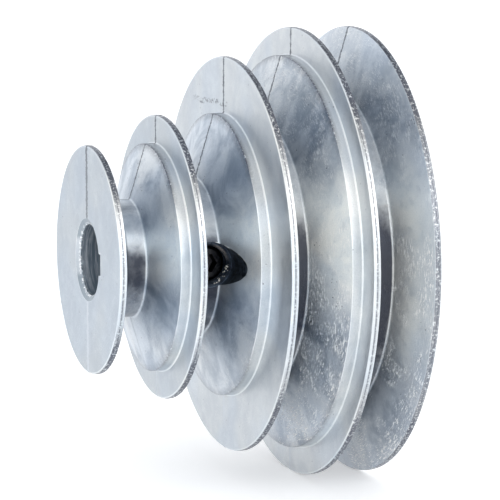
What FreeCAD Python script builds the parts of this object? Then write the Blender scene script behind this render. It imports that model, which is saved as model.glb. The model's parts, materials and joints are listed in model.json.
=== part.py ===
import FreeCAD, Part
import math
import os
import Sketcher

"""Four-step V-belt cone pulley: one die-cast zinc body and the socket set screw in its hub.

The pulley's axis is the X axis, and +X runs towards the large end. The origin is halfway along the bore.
The set screw and the keyway are on the -Y side, and the casting's parting plane is Y = 0.
Sketches measure X from the small end's face, and each body's Placement moves it to the origin.
"""

doc = FreeCAD.newDocument("StepPulley")

# ---------------------------------------------------------------- driving dimensions, millimetres
DIMENSIONS = [
    ("StepOneRadius", 25.4, "outside radius of the smallest step, 2 in diameter"),
    ("StepTwoRadius", 31.75, "2 1/2 in diameter"),
    ("StepThreeRadius", 44.45, "3 1/2 in diameter"),
    ("StepFourRadius", 50.8, "4 in diameter"),
    ("RootOneRadius", 13.1, "radius at the bottom of the smallest groove"),
    ("RootTwoRadius", 17.5, "second groove"),
    ("RootThreeRadius", 30.0, "third groove"),
    ("RootFourRadius", 37.4, "largest groove"),
    ("StepPitch", 16.0, "from one flange's face to the next one's"),
    ("OverallLength", 63.5, "2 1/2 in, face to face"),
    ("RimThickness", 1.5, "flange thickness at its edge"),
    ("LedgeLength", 2.4, "cylindrical land between a groove and the next flange"),
    ("GrooveAngle", 34.0, "included angle of each V, degrees"),
    ("BoreRadius", 7.9375, "5/8 in shaft"),
    ("MouthRadius", 9.3, "outer radius of the bore's mouth chamfer"),
    ("MouthDepth", 0.75, "depth of the same chamfer"),
    ("KeywayWidth", 4.7625, "3/16 in key"),
    ("KeywayRadius", 10.4, "from the bore's axis to the keyway's floor"),
    ("HubRadius", 14.2, "hub inside the cored-out back"),
    ("CoreFloor", 33.6, "front end of the deep part of the core"),
    ("CoreStep", 47.8, "where the core widens"),
    ("CoreDeepRadius", 27.0, "core radius in front of the widening"),
    ("CoreWideRadius", 34.2, "core radius behind it"),
    ("CoreDraft", 0.4, "how much the core's walls open towards the back"),
    ("RibThickness", 3.2, "each of the four ribs in the core"),
    ("RibSetback", 1.6, "from the back face to the ribs' edges"),
    ("RibOverlap", 1.6, "how far a rib runs into the walls it joins"),
    ("ScrewStation", 23.1, "axial place of the set screw"),
    ("SeatRadius", 5.05, "clearance counterbore over the set screw"),
    ("SeatFloor", 16.4, "from the axis to the counterbore's floor"),
    ("SeatTop", 31.0, "from the axis to the plane that the counterbore starts from"),
    ("TapRadius", 4.02, "set screw hole, over the thread"),
    ("TapMouth", 0.45, "chamfer at the mouth of the same hole"),
    ("ScrewRadius", 3.97, "5/16 in set screw"),
    ("ScrewLength", 6.35, "1/4 in"),
    ("ScrewTipGap", 8.3, "from the pulley's axis to the screw's tip at rest"),
    ("ScrewEndChamfer", 0.7, "chamfer at both ends of the screw"),
    ("CupRadius", 2.1, "rim of the cup point"),
    ("CupDepth", 1.0, "depth of the cup"),
    ("SocketFlats", 3.97, "5/32 in hexagon key"),
    ("SocketDepth", 3.2, "depth of the hexagon socket"),
    ("RimFrontFillet", 0.45, "rounding of each flange's front edge"),
    ("RimBackFillet", 0.3, "rounding of each flange's edge on the groove side"),
    ("RootFillet", 0.5, "rounding at the bottom of each groove"),
    ("LedgeFillet", 0.35, "rounding where a ledge meets the next flange"),
    ("CoreFillet", 1.2, "rounding of the core's floor and step"),
]

sheet = doc.addObject("Spreadsheet::Sheet", "Sizes")
for row, (alias, value, note) in enumerate(DIMENSIONS, start=1):
    sheet.set(f"A{row}", alias)
    sheet.set(f"B{row}", str(value))
    sheet.set(f"C{row}", note)
    sheet.setAlias(f"B{row}", alias)
doc.recompute()


# ---------------------------------------------------------------- lengths bound to the sheet
class Size:
    """A number together with the sheet expression that it comes from."""

    def __init__(self, value, text):
        self.value = value
        self.text = text

    def __add__(self, other):
        return combine(self, "+", other)

    def __sub__(self, other):
        return combine(self, "-", other)

    def __mul__(self, other):
        return combine(self, "*", other)

    def __neg__(self):
        return Size(-self.value, f"(-1 * {self.text})")


def as_size(number):
    return number if isinstance(number, Size) else Size(float(number), repr(float(number)))


def combine(left, sign, right):
    left, right = as_size(left), as_size(right)
    results = {
        "+": left.value + right.value,
        "-": left.value - right.value,
        "*": left.value * right.value,
    }
    return Size(results[sign], f"({left.text} {sign} {right.text})")


def cell(alias):
    return Size(float(sheet.get(alias)), f"Sizes.{alias}")


def half_angle_slope():
    """Sideways run of a groove wall per millimetre of depth."""
    angle = cell("GrooveAngle")
    return Size(math.tan(math.radians(angle.value / 2)), f"tan({angle.text} / 2 * 1 deg)")


ZERO = as_size(0)
STEP_RADII = [cell(f"Step{word}Radius") for word in ("One", "Two", "Three", "Four")]
ROOT_RADII = [cell(f"Root{word}Radius") for word in ("One", "Two", "Three", "Four")]
LENGTH = cell("OverallLength")
STEP_FRONTS = [cell("StepPitch") * index for index in range(4)]
STEP_BACKS = STEP_FRONTS[1:] + [LENGTH]
GROOVE_LEFTS = [front + cell("RimThickness") for front in STEP_FRONTS]
GROOVE_RIGHTS = [back - cell("LedgeLength") for back in STEP_BACKS[:3]]
GROOVE_RIGHTS.append(LENGTH - cell("RimThickness"))


# ---------------------------------------------------------------- sketch and feature helpers
def new_body(label):
    body = doc.addObject("PartDesign::Body", label)
    body.Label = label
    return body


def place(body, x, y, turn):
    """Puts the body's own origin at (x, y, 0), bound to the sheet, turned about Z by turn degrees."""
    spin = FreeCAD.Rotation(FreeCAD.Vector(0, 0, 1), turn)
    body.Placement = FreeCAD.Placement(FreeCAD.Vector(x.value, y.value, 0), spin)
    body.setExpression("Placement.Base.x", x.text)
    if y.value:
        body.setExpression("Placement.Base.y", y.text)


def origin_feature(body, role):
    return next(item for item in body.Origin.OriginFeatures if item.Role == role)


def new_sketch(body, name, role, height=ZERO, turn=0.0):
    """A sketch on one of the body's own origin planes, raised by height and turned about its local X."""
    sketch = body.newObject("Sketcher::SketchObject", name)
    sketch.AttachmentSupport = (origin_feature(body, role), [""])
    sketch.MapMode = "FlatFace"
    raised = FreeCAD.Vector(0, 0, height.value)
    spin = FreeCAD.Rotation(FreeCAD.Vector(1, 0, 0), turn)
    sketch.AttachmentOffset = FreeCAD.Placement(raised, spin)
    if height.value:
        sketch.setExpression("AttachmentOffset.Base.z", height.text)
    return sketch


def bind(sketch, constraint, size):
    index = sketch.addConstraint(constraint)
    sketch.renameConstraint(index, f"size{index}")
    sketch.setExpression(f"Constraints.size{index}", size.text)


def pin_point(sketch, geometry, point, x, y):
    """Fixes one point of the sketch at (x, y), both bound to the sheet."""
    for kind, size, axis in (("DistanceX", x, -2), ("DistanceY", y, -1)):
        if size.value == 0:
            sketch.addConstraint(Sketcher.Constraint("PointOnObject", geometry, point, axis))
        else:
            bind(sketch, Sketcher.Constraint(kind, -1, 1, geometry, point, size.value), size)


def draw_outline(sketch, points):
    """A closed outline of straight lines through points, each a pair of Sizes."""
    vectors = [FreeCAD.Vector(x.value, y.value, 0) for x, y in points]
    count = len(vectors)
    lines = [Part.LineSegment(vectors[i], vectors[(i + 1) % count]) for i in range(count)]
    sketch.addGeometry(lines, False)
    for i in range(count):
        sketch.addConstraint(Sketcher.Constraint("Coincident", i, 2, (i + 1) % count, 1))
    for i, (x, y) in enumerate(points):
        pin_point(sketch, i, 1, x, y)


def draw_circle(sketch, x, y, radius):
    centre = FreeCAD.Vector(x.value, y.value, 0)
    circle = sketch.addGeometry(Part.Circle(centre, FreeCAD.Vector(0, 0, 1), radius.value), False)
    pin_point(sketch, circle, 3, x, y)
    bind(sketch, Sketcher.Constraint("Radius", circle, radius.value), radius)


def draw_hexagon(sketch, flats):
    """A regular hexagon round the sketch's origin, as far across its flats as flats."""
    corner = Size(flats.value / math.sqrt(3), f"({flats.text} / sqrt(3))")
    turns = [math.radians(60 * i) for i in range(6)]
    vectors = [FreeCAD.Vector(math.cos(a), math.sin(a), 0) * corner.value for a in turns]
    sketch.addGeometry([Part.LineSegment(vectors[i], vectors[(i + 1) % 6]) for i in range(6)], False)
    guide = Part.Circle(FreeCAD.Vector(), FreeCAD.Vector(0, 0, 1), corner.value)
    circle = sketch.addGeometry(guide, True)
    sketch.addConstraint(Sketcher.Constraint("Coincident", circle, 3, -1, 1))
    bind(sketch, Sketcher.Constraint("Radius", circle, corner.value), corner)
    for i in range(6):
        sketch.addConstraint(Sketcher.Constraint("Coincident", i, 2, (i + 1) % 6, 1))
        sketch.addConstraint(Sketcher.Constraint("PointOnObject", i, 1, circle))
        if i:
            sketch.addConstraint(Sketcher.Constraint("Equal", 0, i))
    sketch.addConstraint(Sketcher.Constraint("PointOnObject", 0, 1, -1))


def revolve(body, sketch, kind, name):
    """A full turn of the sketch about its own horizontal axis: kind is Revolution or Groove."""
    feature = body.newObject(f"PartDesign::{kind}", name)
    feature.Profile = sketch
    feature.ReferenceAxis = (sketch, ["H_Axis"])
    feature.Angle = 360
    return feature


def pocket(body, sketch, name, depth, reverse=False):
    feature = body.newObject("PartDesign::Pocket", name)
    feature.Profile = sketch
    feature.Reversed = reverse
    feature.Length = depth.value
    feature.setExpression("Length", depth.text)
    return feature


def check_changed(body, before, sign, name):
    """Stops if the feature that was just added took away or added no material."""
    doc.recompute()
    change = body.Shape.Volume - before
    if change * sign <= 0:
        raise RuntimeError(f"{name} changed the volume by {change:.3f} mm3")
    return body.Shape.Volume


def round_edges(body, name, radius, wanted):
    """A fillet on every circular edge of the body's tip for which wanted(x, circle radius) holds."""
    base = body.Tip
    names = []
    for index, edge in enumerate(base.Shape.Edges, start=1):
        curve = edge.Curve
        if isinstance(curve, Part.Circle) and abs(abs(curve.Axis.x) - 1) < 1e-6:
            if wanted(curve.Center.x, curve.Radius):
                names.append(f"Edge{index}")
    if not names:
        raise RuntimeError(f"{name} finds no edge")
    fillet = body.newObject("PartDesign::Fillet", name)
    fillet.Base = (base, names)
    fillet.Radius = radius.value
    fillet.setExpression("Radius", radius.text)
    return fillet


def near(a, b, tolerance=0.02):
    return abs(a - b) < tolerance


# ---------------------------------------------------------------- the casting
def build_casting():
    body = new_body("pulley_casting")

    blank = new_sketch(body, "StepOutline", "XZ_Plane")
    outline = [(ZERO, ZERO)]
    for front, back, radius in zip(STEP_FRONTS, STEP_BACKS, STEP_RADII):
        outline += [(front, radius), (back, radius)]
    draw_outline(blank, outline + [(LENGTH, ZERO)])
    revolve(body, blank, "Revolution", "StepBlank")
    volume = check_changed(body, 0, 1, "StepBlank")

    volume = cut_grooves(body, volume)
    volume = cut_core(body, volume)
    volume = add_ribs(body, volume)
    volume = cut_bore(body, volume)
    volume = cut_screw_hole(body, volume)
    round_casting(body)
    check_changed(body, volume, -1, "rounding")
    place(body, -(LENGTH * 0.5), ZERO, 0)
    return body


def cut_grooves(body, volume):
    """The four V grooves, each open at its own step's radius."""
    slope = half_angle_slope()
    for index, (left, right) in enumerate(zip(GROOVE_LEFTS, GROOVE_RIGHTS), start=1):
        rim, root = STEP_RADII[index - 1], ROOT_RADII[index - 1]
        over = rim + cell("RimThickness")
        run = (rim - root) * slope
        sketch = new_sketch(body, f"GrooveOutline{index}", "XZ_Plane")
        draw_outline(
            sketch,
            [(left, over), (left, rim), (left + run, root), (right - run, root), (right, rim), (right, over)],
        )
        revolve(body, sketch, "Groove", f"BeltGroove{index}")
        volume = check_changed(body, volume, -1, f"BeltGroove{index}")
    return volume


def cut_core(body, volume):
    """The ring-shaped hollow round the hub, open at the back, in two widths with a little draft."""
    hub, draft = cell("HubRadius"), cell("CoreDraft")
    deep, wide = cell("CoreDeepRadius"), cell("CoreWideRadius")
    floor, step = cell("CoreFloor"), cell("CoreStep")
    sketch = new_sketch(body, "CoreOutline", "XZ_Plane")
    draw_outline(
        sketch,
        [
            (floor, hub + draft * 2),
            (floor, deep - draft),
            (step, deep),
            (step, wide - draft),
            (LENGTH, wide),
            (LENGTH, hub),
        ],
    )
    revolve(body, sketch, "Groove", "BackCore")
    volume = check_changed(body, volume, -1, "BackCore")
    corners = [
        (floor.value, (hub + draft * 2).value),
        (floor.value, (deep - draft).value),
        (step.value, (wide - draft).value),
    ]
    round_edges(
        body,
        "CoreRounding",
        cell("CoreFillet"),
        lambda x, r: any(near(x, cx) and near(r, cr) for cx, cr in corners),
    )
    return check_changed(body, volume, 1, "CoreRounding")


def add_ribs(body, volume):
    """Four ribs from the hub to the core's walls, between the Y and Z axes."""
    inner, overlap = cell("HubRadius") - cell("RibOverlap"), cell("RibOverlap")
    floor, step = cell("CoreFloor") - overlap, cell("CoreStep") - overlap
    back = LENGTH - cell("RibSetback")
    deep, wide = cell("CoreDeepRadius") + overlap, cell("CoreWideRadius") + overlap
    sketch = new_sketch(body, "RibOutline", "XZ_Plane", turn=45.0)
    draw_outline(
        sketch,
        [(floor, inner), (floor, deep), (step, deep), (step, wide), (back, wide), (back, inner)],
    )
    rib = body.newObject("PartDesign::Pad", "Rib")
    rib.Profile = sketch
    rib.Midplane = True
    rib.Length = cell("RibThickness").value
    rib.setExpression("Length", cell("RibThickness").text)
    volume = check_changed(body, volume, 1, "Rib")
    pattern = body.newObject("PartDesign::PolarPattern", "RibPattern")
    pattern.Originals = [rib]
    pattern.Axis = (origin_feature(body, "X_Axis"), [""])
    pattern.Angle = 360
    pattern.Occurrences = 4
    body.Tip = pattern
    return check_changed(body, volume, 1, "RibPattern")


def cut_bore(body, volume):
    """The shaft bore with a chamfer at each mouth, and the keyway along its -Y side."""
    bore, mouth, depth = cell("BoreRadius"), cell("MouthRadius"), cell("MouthDepth")
    sketch = new_sketch(body, "BoreOutline", "XZ_Plane")
    draw_outline(
        sketch,
        [
            (ZERO, ZERO),
            (ZERO, mouth),
            (depth, bore),
            (LENGTH - depth, bore),
            (LENGTH, mouth),
            (LENGTH, ZERO),
        ],
    )
    revolve(body, sketch, "Groove", "ShaftBore")
    volume = check_changed(body, volume, -1, "ShaftBore")

    half, reach = cell("KeywayWidth") * 0.5, cell("KeywayRadius")
    sketch = new_sketch(body, "KeywayOutline", "YZ_Plane")
    draw_outline(sketch, [(-reach, -half), (ZERO, -half), (ZERO, half), (-reach, half)])
    pocket(body, sketch, "Keyway", LENGTH, reverse=True)
    return check_changed(body, volume, -1, "Keyway")


def cut_screw_hole(body, volume):
    """The tapped hole through the hub wall, and the counterbore that opens it to the groove."""
    station, top = cell("ScrewStation"), cell("SeatTop")
    sketch = new_sketch(body, "SeatOutline", "XZ_Plane", height=top)
    draw_circle(sketch, station, ZERO, cell("SeatRadius"))
    pocket(body, sketch, "ScrewSeat", top - cell("SeatFloor"))
    volume = check_changed(body, volume, -1, "ScrewSeat")

    sketch = new_sketch(body, "TapOutline", "XZ_Plane", height=cell("SeatFloor"))
    draw_circle(sketch, station, ZERO, cell("TapRadius"))
    pocket(body, sketch, "TappedHole", cell("SeatFloor"))
    volume = check_changed(body, volume, -1, "TappedHole")

    base = body.Tip
    mouth = [
        f"Edge{index}"
        for index, edge in enumerate(base.Shape.Edges, start=1)
        if isinstance(edge.Curve, Part.Circle)
        and near(edge.Curve.Radius, cell("TapRadius").value)
        and near(edge.Curve.Center.y, -cell("SeatFloor").value)
    ]
    chamfer = body.newObject("PartDesign::Chamfer", "TapMouthChamfer")
    chamfer.Base = (base, mouth)
    chamfer.Size = cell("TapMouth").value
    chamfer.setExpression("Size", cell("TapMouth").text)
    return check_changed(body, volume, -1, "TapMouthChamfer")


def round_casting(body):
    """The small radii that the die leaves on the rims, in the ledge corners and at the grooves' roots."""
    fronts = [(size.value, radius.value) for size, radius in zip(STEP_FRONTS, STEP_RADII)]
    backs = [(size.value, radius.value) for size, radius in zip(GROOVE_LEFTS, STEP_RADII)]
    last = (LENGTH.value, STEP_RADII[3].value)
    fronts.append(last)
    backs.append((GROOVE_RIGHTS[3].value, STEP_RADII[3].value))
    ledges = [(back.value, radius.value) for back, radius in zip(STEP_BACKS[:3], STEP_RADII)]
    groups = [
        ("RimFronts", "RimFrontFillet", fronts),
        ("RimBacks", "RimBackFillet", backs),
        ("LedgeCorners", "LedgeFillet", ledges),
    ]
    for name, alias, places in groups:
        round_edges(
            body,
            name,
            cell(alias),
            lambda x, r: any(near(x, px) and near(r, pr) for px, pr in places),
        )
        doc.recompute()
    roots = [radius.value for radius in ROOT_RADII]
    round_edges(body, "GrooveRoots", cell("RootFillet"), lambda x, r: any(near(r, root) for root in roots))


# ---------------------------------------------------------------- the set screw
def build_set_screw():
    """A headless socket screw with a cup point: its own X axis runs from the tip to the socket."""
    body = new_body("set_screw")
    radius, length = cell("ScrewRadius"), cell("ScrewLength")
    chamfer, cup = cell("ScrewEndChamfer"), cell("CupRadius")
    sketch = new_sketch(body, "ScrewOutline", "XZ_Plane")
    draw_outline(
        sketch,
        [
            (cell("CupDepth"), ZERO),
            (ZERO, cup),
            (chamfer, radius),
            (length - chamfer, radius),
            (length, radius - chamfer),
            (length, ZERO),
        ],
    )
    revolve(body, sketch, "Revolution", "ScrewBlank")
    volume = check_changed(body, 0, 1, "ScrewBlank")
    socket = new_sketch(body, "SocketOutline", "YZ_Plane", height=length)
    draw_hexagon(socket, cell("SocketFlats"))
    pocket(body, socket, "HexSocket", cell("SocketDepth"))
    check_changed(body, volume, -1, "HexSocket")

    place(body, cell("ScrewStation") - LENGTH * 0.5, -cell("ScrewTipGap"), -90)
    return body


# ---------------------------------------------------------------- build, check and write
subparts = [build_casting(), build_set_screw()]
doc.recompute()

for item in doc.Objects:
    if {"Invalid", "Error"} & set(item.State):
        raise RuntimeError(f"{item.Name} failed: {item.State}")
for body in subparts:
    if body.Shape.isNull() or not body.Shape.isValid():
        raise RuntimeError(f"{body.Label} has no valid shape")

os.makedirs("parts", exist_ok=True)
for body in subparts:
    body.Shape.exportStep(f"parts/{body.Label}.step")
    box = body.Shape.BoundBox
    print(
        f"{body.Label}: {len(body.Shape.Solids)} solid, {body.Shape.Volume:.1f} mm3,"
        f" x {box.XMin:.2f} to {box.XMax:.2f}, y {box.YMin:.2f} to {box.YMax:.2f},"
        f" z {box.ZMin:.2f} to {box.ZMax:.2f}"
    )
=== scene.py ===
import json
import math
import random

import bmesh
import bpy
import numpy as np
from mathutils import Matrix, Vector


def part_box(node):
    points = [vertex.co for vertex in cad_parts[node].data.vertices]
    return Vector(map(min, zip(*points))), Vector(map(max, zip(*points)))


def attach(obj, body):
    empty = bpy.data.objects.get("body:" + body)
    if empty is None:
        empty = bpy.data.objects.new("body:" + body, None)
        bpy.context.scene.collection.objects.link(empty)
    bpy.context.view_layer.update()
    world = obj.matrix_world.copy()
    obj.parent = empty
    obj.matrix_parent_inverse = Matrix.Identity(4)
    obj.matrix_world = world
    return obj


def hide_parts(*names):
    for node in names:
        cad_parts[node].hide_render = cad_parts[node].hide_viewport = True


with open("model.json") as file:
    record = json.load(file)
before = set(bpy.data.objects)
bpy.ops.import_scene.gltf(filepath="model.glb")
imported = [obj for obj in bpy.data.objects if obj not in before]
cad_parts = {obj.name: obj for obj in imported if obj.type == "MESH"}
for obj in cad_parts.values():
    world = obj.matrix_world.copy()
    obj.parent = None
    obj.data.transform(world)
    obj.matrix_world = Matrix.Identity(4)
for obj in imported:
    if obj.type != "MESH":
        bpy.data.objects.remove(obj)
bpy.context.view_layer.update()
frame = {"record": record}

# ---------------------------------------------------------------- sizes, metres
MM = 0.001
MOUNTS = {mount["name"]: mount for mount in frame["record"]["mounts"]}
CASTING_LOW, CASTING_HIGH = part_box("pulley_casting")
SCREW_LOW, SCREW_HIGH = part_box("set_screw")
FRONT = CASTING_LOW.x
LENGTH = CASTING_HIGH.x - CASTING_LOW.x
BORE_RADIUS = MOUNTS["bore"]["dims"]["r_mm"] * MM
MOUTH_DEPTH = (LENGTH - MOUNTS["bore"]["dims"]["length_mm"] * MM) / 2
MOUTH_RADIUS = 9.3 * MM

STEP_PITCH = 16.0 * MM
RIM = 1.5 * MM
LEDGE = 2.4 * MM
STEP_RADII = [25.4 * MM, 31.75 * MM, 44.45 * MM, CASTING_HIGH.z]
ROOT_RADII = [13.1 * MM, 17.5 * MM, 30.0 * MM, 37.4 * MM]
WALL_SLOPE = math.tan(math.radians(17))
RIM_FLASH = 0.05 * MM

HUB_RADIUS = 14.2 * MM
CORE_FLOOR = 33.6 * MM
CORE_STEP = 47.8 * MM
CORE_DEEP = 27.0 * MM
CORE_WIDE = 34.2 * MM
CORE_DRAFT = 0.4 * MM
RIB_THICKNESS = 3.2 * MM
RIB_SETBACK = 1.6 * MM

KEYWAY_WIDTH = 4.7625 * MM
KEYWAY_FLOOR = 10.4 * MM

SCREW_X = (SCREW_LOW.x + SCREW_HIGH.x) / 2
SEAT_RADIUS = 5.05 * MM
SEAT_FLOOR = 16.4 * MM
SEAT_TOP = 31.0 * MM
TAP_CREST = 4.0 * MM
TAP_ROOT = 4.42 * MM
TAP_MOUTH = 0.45 * MM
THREAD_PITCH = 25.4 * MM / 18
SCREW_CREST = (SCREW_HIGH.x - SCREW_LOW.x) / 2
SCREW_ROOT = 3.36 * MM
SCREW_CHAMFER = 0.7 * MM
CUP_RADIUS = 2.1 * MM
CUP_DEPTH = 1.0 * MM
SOCKET_FLATS = 3.97 * MM
SOCKET_DEPTH = 3.2 * MM

TURN_SEGMENTS = 230
HOLE_SEGMENTS = 96
# Strength of the painted shade on each groove's wall, strongest at its root.
WALL_SHADE = [0.15, 0.15, 0.22, 0.28]


# ---------------------------------------------------------------- profiles and meshes
def rounded(points, arc_steps=4, support=0.14 * MM, longest=1.6 * MM):
    """A closed outline of (x, r, radius) corners as a finer one: each corner is an arc with a support
    point either side, and long straight runs are divided."""
    count = len(points)
    corners = []
    for index, (x, r, radius) in enumerate(points):
        here = Vector((x, r))
        back = Vector(points[index - 1][:2]) - here
        ahead = Vector(points[(index + 1) % count][:2]) - here
        if radius <= 0:
            corners.append([here])
            continue
        back_way, ahead_way = back.normalized(), ahead.normalized()
        half = back_way.angle(ahead_way) / 2
        reach = radius / math.tan(half)
        centre = here + (back_way + ahead_way).normalized() * (radius / math.sin(half))
        start, end = here + back_way * reach, here + ahead_way * reach
        arc = []
        for step in range(arc_steps + 1):
            spoke = (start - centre).lerp(end - centre, step / arc_steps)
            arc.append(centre + spoke.normalized() * radius)
        if reach + support < back.length / 2:
            arc.insert(0, here + back_way * (reach + support))
        if reach + support < ahead.length / 2:
            arc.append(here + ahead_way * (reach + support))
        corners.append(arc)
    outline = []
    for index, arc in enumerate(corners):
        outline += arc
        start, end = arc[-1], corners[(index + 1) % count][0]
        parts = max(1, math.ceil((end - start).length / longest))
        outline += [start.lerp(end, part / parts) for part in range(1, parts)]
    return outline


def new_object(name, bm, materials=(), slot=0):
    """A new object whose faces all take the given one of its materials."""
    for face in bm.faces:
        face.material_index = slot
    mesh = bpy.data.meshes.new(name)
    bm.to_mesh(mesh)
    bm.free()
    piece = bpy.data.objects.new(name, mesh)
    bpy.context.scene.collection.objects.link(piece)
    for material in materials:
        mesh.materials.append(material)
    return piece


def lathe(name, outline, segments, materials, slot=0, axis="X", centre=(0, 0, 0), closed=True):
    """A surface of revolution. outline is (along, radius) points: a closed loop, or an open run whose
    two ends lie on the axis. A solid's outline runs so that its faces point outwards."""
    bm = bmesh.new()
    place = Matrix.Translation(centre)
    if axis == "-Y":
        place = place @ Matrix(((0, 1, 0, 0), (-1, 0, 0, 0), (0, 0, 1, 0), (0, 0, 0, 1)))
    rings = []
    for along, radius in outline:
        if radius < 1e-9:
            rings.append([bm.verts.new(place @ Vector((along, 0, 0)))])
            continue
        turns = [2 * math.pi * i / segments for i in range(segments)]
        rings.append(
            [bm.verts.new(place @ Vector((along, radius * math.cos(a), radius * math.sin(a)))) for a in turns]
        )
    pairs = list(zip(rings, rings[1:] + rings[:1])) if closed else list(zip(rings, rings[1:]))
    for low, high in pairs:
        for i in range(segments):
            j = (i + 1) % segments
            corners = []
            for vertex in (low[i % len(low)], low[j % len(low)], high[j % len(high)], high[i % len(high)]):
                if vertex not in corners:
                    corners.append(vertex)
            if len(corners) > 2:
                bm.faces.new(corners)
    bmesh.ops.recalc_face_normals(bm, faces=bm.faces)
    return new_object(name, bm, materials, slot)


def helix_ridge(name, root, crest, width, start, end, materials, slot=0):
    """A closed triangular ridge winding along the set screw's axis: root and crest are radii from it."""
    bm = bmesh.new()
    per_turn = 48
    steps = int((end - start) / THREAD_PITCH * per_turn)
    sections = []
    for step in range(steps + 1):
        turn = 2 * math.pi * step / per_turn
        along = start + (end - start) * step / steps
        section = []
        for offset, radius in ((-width / 2, root), (0, crest), (width / 2, root)):
            x, z = radius * math.cos(turn), radius * math.sin(turn)
            section.append(bm.verts.new((SCREW_X + x, -(along + offset), z)))
        sections.append(section)
    for low, high in zip(sections, sections[1:]):
        for i in range(3):
            j = (i + 1) % 3
            bm.faces.new((low[i], low[j], high[j], high[i]))
    bm.faces.new(sections[0][::-1])
    bm.faces.new(sections[-1])
    bmesh.ops.recalc_face_normals(bm, faces=bm.faces)
    return new_object(name, bm, materials, slot)


def block(name, low, high, materials, turn=0.0):
    """A box from low to high, turned about the X axis: only ever a cutter or part of a larger solid."""
    bm = bmesh.new()
    bmesh.ops.create_cube(bm, size=1)
    low, high = Vector(low), Vector(high)
    for vertex in bm.verts:
        vertex.co = Vector(low[i] + (high[i] - low[i]) * (vertex.co[i] + 0.5) for i in range(3))
    bm.transform(Matrix.Rotation(turn, 4, "X"))
    return new_object(name, bm, materials)


def combine(piece, tool, operation):
    """Applies one boolean to piece and removes the tool. The tool's material stays on its faces."""
    modifier = piece.modifiers.new(tool.name, "BOOLEAN")
    modifier.operation = operation
    modifier.solver = "MANIFOLD"
    modifier.object = tool
    bpy.context.view_layer.update()
    graph = bpy.context.evaluated_depsgraph_get()
    mesh = bpy.data.meshes.new_from_object(piece.evaluated_get(graph), depsgraph=graph)
    piece.modifiers.clear()
    piece.data = mesh
    bpy.data.objects.remove(tool)


def smooth(piece, angle=28):
    piece.data.shade_smooth()
    piece.data.set_sharp_from_angle(angle=math.radians(angle))


# ---------------------------------------------------------------- the casting
def casting_outline():
    """The casting's half section from the small end, over the flanges, and back through the core."""
    corners = [(0, MOUTH_RADIUS, 0.12 * MM)]
    for index, (rim, root) in enumerate(zip(STEP_RADII, ROOT_RADII)):
        front = STEP_PITCH * index
        last = index == len(STEP_RADII) - 1
        land = rim - RIM_FLASH
        left = front + RIM
        right = LENGTH - RIM if last else front + STEP_PITCH - LEDGE
        run = (rim - root) * WALL_SLOPE
        corners += rim_corners(front, land, 0.42 * MM, 0.28 * MM)
        corners += [(left + run, root, 0.5 * MM), (right - run, root, 0.5 * MM)]
        if last:
            corners += rim_corners(right, land, 0.28 * MM, 0.42 * MM)
        else:
            corners += [(right, rim, 0.14 * MM), (front + STEP_PITCH, rim, 0.35 * MM)]
    corners += [
        (LENGTH, CORE_WIDE, 0.5 * MM),
        (CORE_STEP, CORE_WIDE - CORE_DRAFT, 1.2 * MM),
        (CORE_STEP, CORE_DEEP, 0.5 * MM),
        (CORE_FLOOR, CORE_DEEP - CORE_DRAFT, 1.2 * MM),
        (CORE_FLOOR, HUB_RADIUS + CORE_DRAFT * 2, 1.2 * MM),
        (LENGTH, HUB_RADIUS, 0.4 * MM),
        (LENGTH, MOUTH_RADIUS, 0.12 * MM),
        (LENGTH - MOUTH_DEPTH, BORE_RADIUS, 0.1 * MM),
        (MOUTH_DEPTH, BORE_RADIUS, 0.1 * MM),
    ]
    return [(x + FRONT, r) for x, r in rounded(corners)]


def rim_corners(front, land, front_radius, back_radius):
    """A flange's outer edge, with the fine flash line that runs round the middle of it."""
    middle, half = front + RIM / 2, 0.16 * MM
    return [
        (front, land, front_radius),
        (middle - half, land, 0),
        (middle, land + RIM_FLASH, 0),
        (middle + half, land, 0),
        (front + RIM, land, back_radius),
    ]


def build_casting(zinc, dark_zinc):
    metals = (zinc, dark_zinc)
    casting = lathe("pulley_body", casting_outline(), TURN_SEGMENTS, metals)
    inner, half_rib = HUB_RADIUS - RIM, RIB_THICKNESS / 2
    for index in range(4):
        turn = math.radians(45 + 90 * index)
        for start, end, outer in (
            (CORE_STEP - RIM, LENGTH - RIB_SETBACK, CORE_WIDE + RIM),
            (CORE_FLOOR - RIM, CORE_STEP + RIM, CORE_DEEP + RIM),
        ):
            low, high = (FRONT + start, inner, -half_rib), (FRONT + end, outer, half_rib)
            combine(casting, block("rib", low, high, metals, turn), "UNION")
    half, over = KEYWAY_WIDTH / 2, 2 * MM
    low, high = (FRONT - over, -KEYWAY_FLOOR, -half), (FRONT + LENGTH + over, 0, half)
    combine(casting, block("keyway_cutter", low, high, metals), "DIFFERENCE")

    hole = [
        (SEAT_TOP, 0),
        (SEAT_TOP, SEAT_RADIUS),
        (SEAT_FLOOR, SEAT_RADIUS),
        (SEAT_FLOOR, TAP_CREST + TAP_MOUTH),
        (SEAT_FLOOR - TAP_MOUTH, TAP_CREST),
        (BORE_RADIUS / 2, TAP_CREST),
        (BORE_RADIUS / 2, 0),
    ]
    cutter = lathe("hole_cutter", hole, HOLE_SEGMENTS, metals, 1, "-Y", (SCREW_X, 0, 0), closed=False)
    combine(casting, cutter, "DIFFERENCE")
    low, high = KEYWAY_FLOOR - THREAD_PITCH, SEAT_FLOOR + THREAD_PITCH
    width = THREAD_PITCH * 0.86
    thread = helix_ridge("thread_cutter", TAP_CREST - 0.3 * MM, TAP_ROOT, width, low, high, metals, 1)
    combine(casting, thread, "DIFFERENCE")
    weather(casting)
    smooth(casting)
    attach(casting, "pulley")
    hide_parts("pulley_casting")


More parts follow.
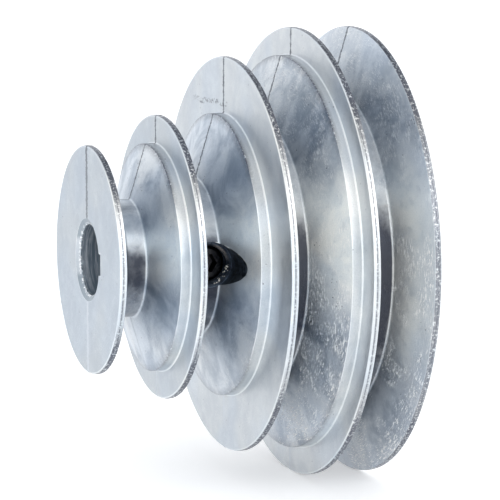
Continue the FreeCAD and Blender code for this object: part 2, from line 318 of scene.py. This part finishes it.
def waves(points, wavelength, count, seed):
    """A smooth random field at points (n, 3): a sum of seeded sine waves, about -1 to 1."""
    rng = np.random.default_rng(seed)
    total = np.zeros(len(points))
    for _ in range(count):
        way = rng.normal(size=3)
        way /= np.linalg.norm(way)
        length = wavelength * rng.uniform(0.6, 1.6)
        total += np.sin(points @ way * (2 * np.pi / length) + rng.uniform(0, 2 * np.pi))
    return total / math.sqrt(count / 2) / 2


def weather(casting):
    """Unevens the cast faces a little, nicks the edges, and marks edges and corners for the material."""
    mesh = casting.data
    points = np.empty(len(mesh.vertices) * 3)
    normals = np.empty(len(mesh.vertices) * 3)
    mesh.vertices.foreach_get("co", points)
    mesh.vertex_normals.foreach_get("vector", normals)
    points, normals = points.reshape(-1, 3), normals.reshape(-1, 3)
    x, radius = points[:, 0] - FRONT, np.hypot(points[:, 1], points[:, 2])

    rims = [(STEP_PITCH * i + RIM / 2, rim) for i, rim in enumerate(STEP_RADII)]
    rims.append((LENGTH - RIM / 2, STEP_RADII[-1]))
    rim_line_and_shade_mark, edge_mark = np.zeros(len(x)), np.zeros(len(x))
    steepness = np.abs(points[:, 2]) / np.maximum(radius, MM)
    for middle, rim in rims:
        on_land = np.abs(radius - rim) < 0.16 * MM
        near_middle = np.clip(1 - np.abs(x - middle) / (0.3 * MM), 0, 1)
        # The steep-side mask darkens each rim's land where it turns up or down, and the last rim's land all
        # round: painted shade.
        least = 0.8 if middle > LENGTH - RIM else 0.0
        shaded = np.clip((steepness - 0.42) / 0.25, least, 1) * (np.abs(x - middle) < RIM * 0.5)
        rim_line_and_shade_mark = np.maximum(rim_line_and_shade_mark, np.maximum(near_middle, shaded) * on_land)
        in_flange = np.abs(x - middle) < RIM * 0.6
        edge_mark = np.maximum(edge_mark, in_flange * np.clip(1 - (rim - radius) / (0.6 * MM), 0, 1))
    for index, rim in enumerate(STEP_RADII[:3]):
        ridge = STEP_PITCH * (index + 1) - LEDGE
        distance = np.hypot(x - ridge, radius - rim)
        edge_mark = np.maximum(edge_mark, np.clip(1 - distance / (0.35 * MM), 0, 1))
        # The ridges' corners get painted shade where they turn up or down, more above the axis than below.
        shaded = np.clip((steepness - 0.5) / 0.2, 0, 1) * np.clip(1.25 - distance / (0.36 * MM), 0, 1)
        rim_line_and_shade_mark = np.maximum(rim_line_and_shade_mark, shaded * np.where(points[:, 2] > 0, 0.95, 0.6))

    # Painted shade lies in the bottom of each groove, most of it against the smaller flange and level with
    # the axis, and fades up each wall.
    groove_shade_mark, wall_mark = np.zeros(len(x)), np.zeros(len(x))
    height = points[:, 2] / np.maximum(radius, MM)
    by_height = np.clip(0.62 - height, 0.12, 0.5) * 2 - np.clip(-0.2 - height, 0, 0.4) * 1.0
    for index, (rim, root) in enumerate(zip(STEP_RADII, ROOT_RADII)):
        left = STEP_PITCH * index + RIM
        right = LENGTH - RIM if index == 3 else STEP_PITCH * (index + 1) - LEDGE
        run = (rim - root) * WALL_SLOPE
        across = (x - left) / (right - run - left)
        in_groove = (x > left) * (x < right) * (radius > root - 0.3 * MM) * (0.75 if index == 0 else 1)
        near_root = np.clip(1.15 - (radius - root) / (2.5 * MM), 0, 1) * np.clip((1.0 - across) / 0.07, 0, 1)
        up_wall = np.clip(1 - (radius - root) / ((rim - root) * 0.7), 0, 1) * WALL_SHADE[index]
        groove_shade_mark = np.maximum(groove_shade_mark, np.maximum(near_root * by_height, up_wall) * in_groove)
        on_wall = (in_groove > 0) * (radius < rim - 0.02 * MM)
        wall_mark = np.maximum(wall_mark, on_wall * (0.45 if index < 2 else 1))

    # The drilled hole and the bore's mouth keep a thin burr; the hole's burr mark also carries a painted
    # highlight.
    hole_faces = np.zeros(len(mesh.polygons), dtype=np.int32)
    mesh.polygons.foreach_get("material_index", hole_faces)
    sides = np.zeros((2, len(x)), dtype=bool)
    for polygon, kind in zip(mesh.polygons, hole_faces):
        if kind or abs(polygon.center.x - SCREW_X) < 2 * SEAT_RADIUS:
            sides[kind, list(polygon.vertices)] = True
    hole_edge = sides[0] & sides[1] & (radius > SEAT_FLOOR + 0.5 * MM)
    # The burr and its painted highlight lie only on the hole's side facing up and towards the large end.
    facing = np.clip((points[:, 2] + points[:, 0] - SCREW_X) / (4 * MM), 0, 1)
    burr_glint = hole_edge * facing * (0.55 + 0.45 * waves(points, 1.1 * MM, 12, 13))
    mouth = np.hypot(x - MOUTH_DEPTH, radius - BORE_RADIUS) < 0.3 * MM
    points += normals * (burr_glint * 0.07 * MM)[:, None]
    points += normals * (mouth * waves(points, 0.9 * MM, 16, 15) * 0.06 * MM)[:, None]

    outside = radius > ROOT_RADII[0] - 0.5 * MM
    swell = waves(points, 9 * MM, 14, 3) * 0.022 * MM + waves(points, 3.2 * MM, 14, 5) * 0.005 * MM
    points += normals * (swell * outside * (1 - edge_mark))[:, None]
    nicks = np.clip(waves(points, 1.4 * MM, 18, 7) - 0.5, 0, 1) * np.clip(waves(points, 22 * MM, 8, 9), 0, 1)
    points[:, 1:] *= (1 - (nicks * 0.25 * MM * edge_mark) / np.maximum(radius, MM))[:, None]
    points = np.clip(points, np.array(CASTING_LOW), np.array(CASTING_HIGH))
    mesh.vertices.foreach_set("co", points.ravel())
    flat_mark = (np.abs(normals[:, 0]) > 0.985).astype(float)
    marks = {
        "rim_line_and_shade_mark": rim_line_and_shade_mark,
        "groove_shade_mark": groove_shade_mark,
        "wall_mark": wall_mark,
        "flat_mark": flat_mark,
        "burr_glint_mark": burr_glint,
    }
    for name, values in marks.items():
        layer = mesh.attributes.new(name, "FLOAT", "POINT")
        layer.data.foreach_set("value", values.astype(np.float32))
    mesh.update()


# ---------------------------------------------------------------- the set screw
def build_screw(steel):
    tip, end = -SCREW_HIGH.y, -SCREW_LOW.y
    outline = [
        (tip + CUP_DEPTH, 0),
        (tip, CUP_RADIUS),
        (tip + 0.08 * MM, CUP_RADIUS + 0.12 * MM),
        (tip + SCREW_CHAMFER, SCREW_CREST),
        (end - SCREW_CHAMFER, SCREW_CREST),
        (end - 0.05 * MM, SCREW_CREST - SCREW_CHAMFER),
        (end, SCREW_CREST - SCREW_CHAMFER - 0.1 * MM),
        (end, 0),
    ]
    place = ("-Y", (SCREW_X, 0, 0))
    screw = lathe("socket_set_screw", outline, HOLE_SEGMENTS, (steel,), 0, *place, closed=False)
    width, low, high = THREAD_PITCH * 1.1, tip - THREAD_PITCH, end + THREAD_PITCH
    thread = helix_ridge("groove_cutter", SCREW_CREST + 0.3 * MM, SCREW_ROOT, width, low, high, (steel,))
    combine(screw, thread, "DIFFERENCE")
    corner = SOCKET_FLATS / math.sqrt(3)
    socket = [(end + MM, 0), (end + MM, corner), (end - SOCKET_DEPTH, corner), (end - SOCKET_DEPTH - MM, 0)]
    cutter = lathe("socket_cutter", socket, 6, (steel,), 0, *place, closed=False)
    combine(screw, cutter, "DIFFERENCE")
    smooth(screw)
    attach(screw, "screw")
    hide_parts("set_screw")


# ---------------------------------------------------------------- the parting line's flash
def build_flash(zinc):
    """The thin ridge that the two halves of the die leave where they meet, above and below the axis."""
    outline = [p for p in casting_outline() if p[1] >= MOUTH_RADIUS - 0.01 * MM]
    last = max(i for i, p in enumerate(outline) if p[1] > STEP_RADII[-1] - MM)
    outline = [Vector(p) for p in outline[: last + 1]]
    rng = random.Random(11)
    bm = bmesh.new()
    half, height, sunk = 0.17 * MM, 0.07 * MM, 0.05 * MM
    for side in (1, -1):
        rows = []
        for index, point in enumerate(outline):
            ahead = outline[min(index + 1, len(outline) - 1)] - outline[max(index - 1, 0)]
            outward = Vector((-ahead.y, ahead.x)).normalized()
            rise = height * rng.uniform(0.35, 1.0)
            top, base = point + outward * rise, point - outward * sunk
            top.y = min(top.y, -CASTING_LOW.z)
            for spot in (top, base):
                spot.x = min(max(spot.x, FRONT), FRONT + LENGTH)
            crest = rng.uniform(-0.2, 0.2) * half
            row = [(base.x, -half, base.y), (top.x, crest, top.y), (base.x, half, base.y)]
            rows.append([bm.verts.new((px, py, pz * side)) for px, py, pz in row])
        for low, high in zip(rows, rows[1:]):
            for i in range(3):
                j = (i + 1) % 3
                bm.faces.new((low[i], low[j], high[j], high[i]))
        bm.faces.new(rows[0])
        bm.faces.new(rows[-1][::-1])
    bmesh.ops.recalc_face_normals(bm, faces=bm.faces)
    flash = new_object("parting_flash", bm, (zinc,))
    flash.data.shade_smooth()
    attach(flash, "pulley")


# ---------------------------------------------------------------- materials
class Nodes:
    """A short way to write one material's node tree."""

    def __init__(self, name):
        self.material = bpy.data.materials.new(name)
        self.material.use_nodes = True
        self.tree = self.material.node_tree
        self.shader = self.tree.nodes["Principled BSDF"]

    def feed(self, socket, value):
        if isinstance(value, bpy.types.NodeSocket):
            self.tree.links.new(value, socket)
        elif value is not None:
            socket.default_value = value

    def node(self, kind, settings=None, **inputs):
        node = self.tree.nodes.new(kind)
        for key, value in (settings or {}).items():
            setattr(node, key, value)
        for key, value in inputs.items():
            self.feed(node.inputs[key.replace("_", " ")], value)
        return node

    def math(self, operation, a, b=None, clamp=False):
        node = self.node("ShaderNodeMath", {"operation": operation, "use_clamp": clamp})
        self.feed(node.inputs[0], a)
        self.feed(node.inputs[1], b)
        return node.outputs[0]

    def times(self, first, second, clamp=False):
        return self.math("MULTIPLY", first, second, clamp)

    def attribute(self, name):
        return self.node("ShaderNodeAttribute", {"attribute_name": name}).outputs["Fac"]

    def cells(self, vector, scale):
        """The distance to the nearest of scattered points."""
        texture = self.node("ShaderNodeTexVoronoi", {"feature": "F1"}, Vector=vector, Scale=scale)
        return texture.outputs["Distance"]

    def noise(self, vector, scale, detail=3.0, roughness=0.55, distortion=0.0):
        values = {"Scale": scale, "Detail": detail, "Roughness": roughness, "Distortion": distortion}
        return self.node("ShaderNodeTexNoise", Vector=vector, **values).outputs["Fac"]

    def ramp(self, value, low, high, to_low=0.0, to_high=1.0):
        """value from low to high becomes to_low to to_high, smoothly, and stops there."""
        node = self.node("ShaderNodeMapRange", {"interpolation_type": "SMOOTHSTEP"})
        for index, number in enumerate((value, low, high, to_low, to_high)):
            self.feed(node.inputs[index], number)
        return node.outputs[0]

    def mix(self, share, first, second):
        node = self.node("ShaderNodeMix", {"data_type": "RGBA"})
        self.feed(node.inputs[0], share)
        self.feed(node.inputs[6], first if isinstance(first, bpy.types.NodeSocket) else (*first, 1))
        self.feed(node.inputs[7], second if isinstance(second, bpy.types.NodeSocket) else (*second, 1))
        return node.outputs[2]

    def bump(self, height, distance, normal=None):
        node = self.node("ShaderNodeBump", Height=height, Distance=distance, Normal=normal)
        node.inputs["Strength"].default_value = 1.0
        return node.outputs["Normal"]

    def millimetres(self):
        """The point on the object, in millimetres."""
        place = self.node("ShaderNodeTexCoord").outputs["Object"]
        node = self.node("ShaderNodeVectorMath", {"operation": "SCALE"}, Vector=place)
        node.inputs["Scale"].default_value = 1 / MM
        return node.outputs[0]

    def finish(self, colour, roughness, normal, metallic=1.0):
        self.feed(self.shader.inputs["Base Color"], colour)
        self.feed(self.shader.inputs["Roughness"], roughness)
        self.feed(self.shader.inputs["Normal"], normal)
        self.feed(self.shader.inputs["Metallic"], metallic)
        return self.material


def cast_zinc():
    """Bright die-cast zinc: a clouded sheen, fine grain, pits and scuffed walls, with painted light and shade
    on the ledges, walls, grooves, rims, bore, burrs and parting line.
    """
    n = Nodes("cast_zinc")
    point = n.millimetres()
    x, y, z = n.node("ShaderNodeSeparateXYZ", Vector=point).outputs
    radius = n.math("SQRT", n.math("ADD", n.times(y, y), n.times(z, z)))
    half_length, mouth_end = LENGTH / 2 / MM, (LENGTH / 2 - MOUTH_DEPTH) / MM
    bore, key_floor, pitch = BORE_RADIUS / MM, KEYWAY_FLOOR / MM, STEP_PITCH / MM
    angle = n.math("ARCTAN2", z, n.times(y, -1.0))
    arc = n.times(angle, 45.0)
    bore_angle = n.math("ARCTAN2", z, y)
    around = n.node("ShaderNodeCombineXYZ", X=n.times(arc, 0.22), Y=radius, Z=x).outputs[0]

    cloud = n.noise(point, 0.10, 5, 0.6, 0.5)
    patch = n.noise(point, 0.4, 4, 0.6, 0.3)
    grain = n.noise(point, 4.2, 3)
    wall = n.attribute("wall_mark")
    flat = n.attribute("flat_mark")
    # The flanges' flat faces are paler towards the large end.
    larger = n.ramp(x, 2 - half_length, pitch)
    small_face = n.mix(n.ramp(cloud, 0.34, 0.64), (0.40, 0.445, 0.50), (0.48, 0.525, 0.575))
    large_face = n.mix(n.ramp(cloud, 0.34, 0.64), (0.53, 0.565, 0.61), (0.64, 0.67, 0.70))
    face = n.mix(larger, small_face, large_face)
    ledge = n.mix(n.ramp(cloud, 0.34, 0.64), (0.70, 0.75, 0.79), (0.84, 0.87, 0.89))
    # level is -1 at the very bottom of the pulley and 1 at its top. The ledges are palest a little above the
    # axis, a painted highlight, and greyer near the top, painted shade.
    level = n.math("DIVIDE", z, n.math("MAXIMUM", radius, 1.0))
    ledge = n.mix(n.ramp(level, 0.1, 0.45), ledge, (0.98, 0.985, 0.98))
    ledge = n.mix(n.ramp(level, 0.62, 0.92), ledge, (0.60, 0.64, 0.69))
    # The walls carry a painted sheen level with the axis, a painted highlight, and painted shade above and
    # below. The last one's painted sheen reaches further down, and painted shade greys it towards its rim.
    lower = n.times(n.ramp(x, 14, 18), 0.3)
    painted_sheen = n.times(n.ramp(n.math("ADD", level, lower), -0.38, 0.0), n.ramp(level, 0.72, 0.30))
    shaded = n.mix(n.ramp(cloud, 0.36, 0.62), (0.37, 0.425, 0.50), (0.71, 0.75, 0.80))
    bright = n.mix(n.ramp(cloud, 0.36, 0.62), (0.80, 0.845, 0.88), (0.96, 0.97, 0.96))
    groove = n.mix(painted_sheen, shaded, bright)
    last_rim = n.times(n.ramp(x, 14, 18), n.ramp(radius, 41, 49.5, 0, 0.6))
    groove = n.mix(last_rim, groove, (0.56, 0.61, 0.68))
    tone = n.mix(n.ramp(wall, 0, 0.4), n.mix(flat, ledge, face), groove)
    strength = n.ramp(wall, 0, 1, 0.35, 0.8)
    tone = n.mix(n.times(n.ramp(patch, 0.48, 0.70, 0, 0.3), strength), tone, (0.86, 0.88, 0.89))
    tone = n.mix(n.times(n.ramp(patch, 0.46, 0.30, 0, 0.3), strength), tone, (0.44, 0.485, 0.55))
    tone = n.mix(n.ramp(grain, 0.4, 0.7, 0, 0.14), tone, (0.36, 0.39, 0.44))

    # Handling scuffs: short light dashes that mostly follow the turn of the walls, in worn patches.
    worn = n.ramp(n.noise(point, 0.085, 3), 0.38, 0.52)
    worn = n.times(worn, n.ramp(n.noise(point, 0.26, 3), 0.40, 0.52, 0.25, 1))
    along = n.ramp(n.noise(around, 3.4, 5, 0.72, 0.3), 0.565, 0.59)
    slant = n.node("ShaderNodeMapping", Vector=around, Rotation=(0, 0, 0.5), Scale=(1.3, 1, 1)).outputs[0]
    across = n.ramp(n.noise(slant, 2.8, 5, 0.72, 0.3), 0.575, 0.60)
    dash = n.times(n.math("MAXIMUM", along, across), n.ramp(n.math("ABSOLUTE", angle), 3.05, 2.7))
    scuff = n.times(n.times(dash, worn), n.ramp(wall, 0.3, 1.0, 0.12, 1))
    scuff = n.times(scuff, n.ramp(z, 26.0, -14.0, 0.45, 1.35), clamp=True)
    tone = n.mix(scuff, tone, (1.0, 1.0, 1.0))

    # The oxide's colour drifts between warm and cool, warmest on the larger walls.
    drift = n.math("ADD", n.noise(point, 0.055, 2, 0.4), n.times(larger, 0.07))
    warmth = n.mix(n.ramp(drift, 0.42, 0.62), (0.965, 0.985, 1.0), (1.0, 0.992, 0.97))
    tinted = n.node("ShaderNodeMix", {"data_type": "RGBA", "blend_type": "MULTIPLY"})
    for index, value in ((0, 1.0), (6, tone), (7, warmth)):
        n.feed(tinted.inputs[index], value)
    tone = tinted.outputs[2]

    # Small pits in patches.
    cells = n.cells(point, 0.9)
    pit = n.times(n.ramp(cells, 0.20, 0.08), n.ramp(n.noise(point, 0.22, 2), 0.58, 0.66))
    tone = n.mix(n.times(pit, 0.75), tone, (0.12, 0.13, 0.17))

    # The parting line: dark and broken above the axis, as painted shade, and pale below, as a painted
    # highlight; widest on the small end, and missing in the core and the bore, which other parts of the die
    # form.
    wander = n.times(n.math("SUBTRACT", n.noise(point, 0.5, 2), 0.5), 0.2)
    off_plane = n.math("ABSOLUTE", n.math("ADD", y, wander))
    small_end = n.ramp(x, 0.5 - half_length, 0.1 - half_length)
    crumbs = n.noise(point, 1.5, 3, 0.7)
    reach = n.math("ADD", n.times(small_end, 0.35), n.ramp(crumbs, 0.38, 0.62, 0.12, 0.68))
    seam = n.ramp(n.math("DIVIDE", off_plane, reach), 1.05, 0.75)
    core = CORE_WIDE / MM
    cored = n.times(n.ramp(x, 1.0, 1.4), n.ramp(radius, core + 0.9, core + 0.6))
    cored = n.times(cored, n.ramp(wall, 0.3, 0.1))
    cored = n.math("MAXIMUM", cored, n.ramp(radius, 9.0, 8.8))
    seam = n.times(seam, n.math("SUBTRACT", 1.0, cored))
    above = n.ramp(z, -1.0, 1.0)
    seam_tone = n.mix(above, (0.56, 0.60, 0.65), (0.09, 0.10, 0.125))
    tone = n.mix(n.times(seam, 0.82), tone, seam_tone)

    # Rims: a dark speckled line round the middle, where the flash was dressed off, and painted shade where
    # the rims turn up or down, all round the last rim, and on the ridges' corners, most above the axis.
    rim = n.attribute("rim_line_and_shade_mark")
    rim = n.times(rim, n.ramp(n.noise(point, 1.7, 4, 0.75), 0.34, 0.50))
    tone = n.mix(n.times(rim, 0.9), tone, (0.055, 0.062, 0.095))

    # Painted shade in the grooves.
    groove_shade = n.attribute("groove_shade_mark")
    groove_shade = n.times(groove_shade, n.ramp(patch, 0.3, 0.62, 1.1, 0.92), clamp=True)
    tone = n.mix(n.ramp(groove_shade, 0.0, 0.8, 0, 0.97), tone, (0.026, 0.030, 0.046))

    # A ragged row of small flaws across the third flange's front, just above the ridge before it.
    flaw_x = pitch * 2 - half_length
    flaws = n.times(n.ramp(n.math("ABSOLUTE", n.math("SUBTRACT", x, flaw_x)), 0.2, 0.1), flat)
    height = n.math("ADD", z, n.times(n.noise(point, 0.25, 2), 2.0))
    off_row = n.math("ABSOLUTE", n.math("SUBTRACT", height, STEP_RADII[1] / MM + 3.2))
    flaws = n.times(flaws, n.ramp(off_row, 0.75, 0.35))
    flaws = n.times(flaws, n.times(n.ramp(y, -3.0, -2.0), n.ramp(y, 24.0, 17.0)))
    flaws = n.times(flaws, n.ramp(crumbs, 0.50, 0.56))
    tone = n.mix(n.times(flaws, 0.8), tone, (0.13, 0.14, 0.17))

    # The reamed bore and its countersunk mouth: fine rings on the bore; the mouth greyed, and both darkened
    # above and below the axis, as painted shade.
    end = n.math("ABSOLUTE", x)
    keyed, mouth_rim = key_floor + 0.6, MOUTH_RADIUS / MM
    bored = n.times(n.ramp(radius, keyed + 0.4, keyed), n.ramp(end, mouth_end + 0.05, mouth_end - 0.05))
    near_end = n.ramp(end, half_length - 0.01, half_length - 0.05)
    mouth = n.times(n.ramp(radius, mouth_rim, mouth_rim - 0.1), near_end)
    inside = n.math("MAXIMUM", bored, mouth)
    ring_point = n.node("ShaderNodeCombineXYZ", X=n.times(x, 2.2), Y=bore_angle, Z=radius).outputs[0]
    rings = n.noise(ring_point, 1.3, 4, 0.7)
    band = n.noise(ring_point, 0.55, 2)
    ringed = n.mix(n.ramp(rings, 0.35, 0.65), (0.30, 0.37, 0.45), (0.96, 0.98, 1.0))
    ringed = n.mix(n.ramp(band, 0.4, 0.62), ringed, (0.32, 0.39, 0.46))
    tone = n.mix(n.times(mouth, 0.75), tone, (0.46, 0.505, 0.56))
    high_or_low = n.ramp(n.math("ABSOLUTE", z), 3.4, 4.8, 0, 0.7)
    tone = n.mix(n.times(inside, high_or_low), tone, (0.22, 0.27, 0.31))
    tone = n.mix(bored, tone, ringed)

    # Burrs: a painted highlight on the hole's burr and along the bore's mouth edge, with dark between them.
    burr_glint = n.attribute("burr_glint_mark")
    burr_glint = n.ramp(burr_glint, 0.45, 0.8)
    edge = n.times(inside, n.ramp(radius, bore + 0.5625, bore + 0.2625))
    edge = n.times(edge, n.ramp(end, 30.6, 30.8))
    burr_glint = n.math("MAXIMUM", burr_glint, n.times(edge, n.ramp(crumbs, 0.50, 0.56)))
    tone = n.mix(burr_glint, tone, (0.97, 0.98, 0.99))

    rough = n.math("ADD", n.ramp(cloud, 0.3, 0.7, 0.30, 0.40), n.ramp(grain, 0.3, 0.7, -0.02, 0.06))
    rough = n.math("ADD", rough, n.times(scuff, 0.2), clamp=True)
    # Scuffs, burrs with their painted highlight, and the walls' painted sheen are less like a mirror.
    milky = n.times(n.times(painted_sheen, wall), n.ramp(x, 14, 18, 0.45, 0.25))
    milky = n.math("MAXIMUM", n.math("MAXIMUM", scuff, burr_glint), milky)
    metallic = n.math("SUBTRACT", 0.9, n.times(milky, 0.8), clamp=True)

    normal = n.bump(n.noise(point, 0.35, 3, 0.5, 0.3), 0.05 * MM)
    normal = n.bump(grain, 0.007 * MM, normal)
    marks = n.math("SUBTRACT", scuff, n.times(pit, 3.0))
    marks = n.math("ADD", marks, n.times(bored, n.times(rings, 2.0)))
    normal = n.bump(marks, 0.02 * MM, normal)
    return n.finish(tone, rough, normal, metallic)


def dark_metal(name, dark, light, low, high, in_hole=False):
    """Dark metal with a soft uneven shine: the set screw's black oxide. The tapped hole's own version is
    painted shade, lighter on the seat's wall and nearly black inside it, with a painted highlight in arcs and
    painted glints in the thread's mouth."""
    n = Nodes(name)
    point = n.millimetres()
    cloud = n.noise(point, 0.9, 4, 0.6, 0.5)
    fine = n.noise(point, 7.0, 2)
    tone = n.mix(n.ramp(cloud, 0.35, 0.7), dark, light)
    metallic = 1.0
    if in_hole:
        x, y, z = n.node("ShaderNodeSeparateXYZ", Vector=point).outputs
        across = n.math("SUBTRACT", x, SCREW_X / MM)
        off_axis = n.math("SQRT", n.math("ADD", n.times(across, across), n.times(z, z)))
        # Painted shade: inside the seat's wall the hole goes nearly black.
        wall = n.ramp(off_axis, SEAT_RADIUS / MM - 0.1, SEAT_RADIUS / MM)
        tone = n.mix(wall, n.mix(0.75, tone, (0.006, 0.006, 0.008)), tone)
        # A ring at the thread's mouth: painted highlight arcs on its upper side, painted glints on its lower
        # side.
        mouth = n.times(n.ramp(off_axis, 4.55, 4.45), n.ramp(off_axis, 3.8, 3.9))
        mouth = n.times(mouth, n.ramp(y, -14.6, -15.2))
        mouth = n.times(mouth, n.ramp(across, 0.5, 2.0))
        arcs = n.times(mouth, n.ramp(z, 0.2, 1.4))
        tone = n.mix(n.times(arcs, n.ramp(fine, 0.42, 0.6, 0.1, 0.5)), tone, (0.42, 0.36, 0.31))
        painted_glints = n.times(mouth, n.ramp(z, 0.0, -0.8))
        cells = n.cells(point, 1.7)
        painted_glints = n.times(painted_glints, n.ramp(cells, 0.40, 0.28))
        burr_glint = n.attribute("burr_glint_mark")
        painted_glints = n.math("MAXIMUM", painted_glints, n.ramp(burr_glint, 0.6, 0.9))
        tone = n.mix(painted_glints, tone, (0.98, 0.93, 0.84))
        metallic = n.math("SUBTRACT", 1.0, painted_glints)
    rough = n.math("ADD", n.ramp(cloud, 0.3, 0.7, low, high), n.ramp(fine, 0.3, 0.7, -0.03, 0.05), clamp=True)
    return n.finish(tone, rough, n.bump(fine, 0.008 * MM), metallic)


# ---------------------------------------------------------------- stage, lights and camera
CAMERA_PLACE = Vector((-0.19905, -0.5771, 0.0766))
CAMERA_YAW = math.radians(19.61)
CAMERA_PITCH = math.radians(7.07)
LENS = 196.5


def build_stage():
    """A pale floor that curves up into a backdrop behind the object."""
    bm = bmesh.new()
    ground, depth, bend, height, width = CASTING_LOW.z, 1.2, 0.5, 2.2, 3.5
    outline = [(-depth, 0), (depth - bend, 0)]
    for step in range(1, 13):
        angle = math.radians(90) * step / 12
        outline.append((depth - bend + bend * math.sin(angle), bend * (1 - math.cos(angle))))
    outline.append((depth, height))
    rows = [[bm.verts.new((x, y, ground + z)) for y, z in outline] for x in (-width, width)]
    for i in range(len(outline) - 1):
        bm.faces.new((rows[0][i], rows[1][i], rows[1][i + 1], rows[0][i + 1]))
    paper = bpy.data.materials.new("pale_floor")
    paper.use_nodes = True
    shader = paper.node_tree.nodes["Principled BSDF"]
    shader.inputs["Base Color"].default_value = (0.82, 0.82, 0.825, 1)
    shader.inputs["Roughness"].default_value = 0.9
    shader.inputs["Emission Color"].default_value = (1, 1, 1, 1)
    shader.inputs["Emission Strength"].default_value = 0.38
    floor = new_object("floor", bm, (paper,))
    floor.data.shade_smooth()


def area_light(name, place, target, size, power):
    light = bpy.data.lights.new(name, "AREA")
    light.shape = "RECTANGLE"
    light.size, light.size_y = size
    light.energy = power
    lamp = bpy.data.objects.new(name, light)
    lamp.location = place
    lamp.rotation_mode = "QUATERNION"
    lamp.rotation_quaternion = (Vector(target) - Vector(place)).to_track_quat("-Z", "Y")
    bpy.context.scene.collection.objects.link(lamp)


def black_card(name, centre, size):
    """A level dark card that only shows in reflections, as a photographer shapes the shine on bare metal."""
    bm = bmesh.new()
    bmesh.ops.create_grid(bm, x_segments=1, y_segments=1, size=0.5)
    velvet = bpy.data.materials.new("velvet")
    velvet.use_nodes = True
    shader = velvet.node_tree.nodes["Principled BSDF"]
    shader.inputs["Base Color"].default_value = (0.012, 0.014, 0.02, 1)
    shader.inputs["Roughness"].default_value = 1
    shader.inputs["Specular IOR Level"].default_value = 0
    card = new_object(name, bm, (velvet,))
    card.location = centre
    card.scale = (*size, 1)
    card.visible_camera = False
    card.visible_diffuse = False
    card.visible_shadow = False


def build_lights():
    world = bpy.data.worlds.new("studio")
    world.use_nodes = True
    world.node_tree.nodes["Background"].inputs["Color"].default_value = (0.94, 0.97, 1.0, 1)
    world.node_tree.nodes["Background"].inputs["Strength"].default_value = 0.84
    bpy.context.scene.world = world
    area_light("front_soft", (0.34, -0.83, 0.44), (0, 0, 0), (1.2, 0.7), 4.2)
    area_light("left_soft", (-0.95, -0.50, 0.05), (0, 0, 0), (0.6, 0.9), 2.6)
    black_card("overhead_card", (0.35, 0.56, 0.85), (0.6, 0.4))


def build_camera():
    camera = bpy.data.cameras.new("camera")
    camera.lens = LENS
    camera.clip_start, camera.clip_end = 0.01, 20
    holder = bpy.data.objects.new("camera", camera)
    bpy.context.scene.collection.objects.link(holder)
    holder.location = CAMERA_PLACE
    ahead = Vector((
        math.sin(CAMERA_YAW) * math.cos(CAMERA_PITCH),
        math.cos(CAMERA_YAW) * math.cos(CAMERA_PITCH),
        -math.sin(CAMERA_PITCH),
    ))
    holder.rotation_mode = "QUATERNION"
    holder.rotation_quaternion = ahead.to_track_quat("-Z", "Y")
    bpy.context.scene.camera = holder


# ---------------------------------------------------------------- put together
zinc = cast_zinc()
dark_zinc = dark_metal("hole_shade_zinc", (0.08, 0.10, 0.135), (0.24, 0.30, 0.38), 0.30, 0.45, in_hole=True)
steel = dark_metal("black_oxide", (0.016, 0.016, 0.018), (0.045, 0.045, 0.048), 0.26, 0.40)
build_casting(zinc, dark_zinc)
build_screw(steel)
build_flash(zinc)
build_stage()
build_lights()
build_camera()
bpy.context.scene.view_settings.view_transform = "Standard"
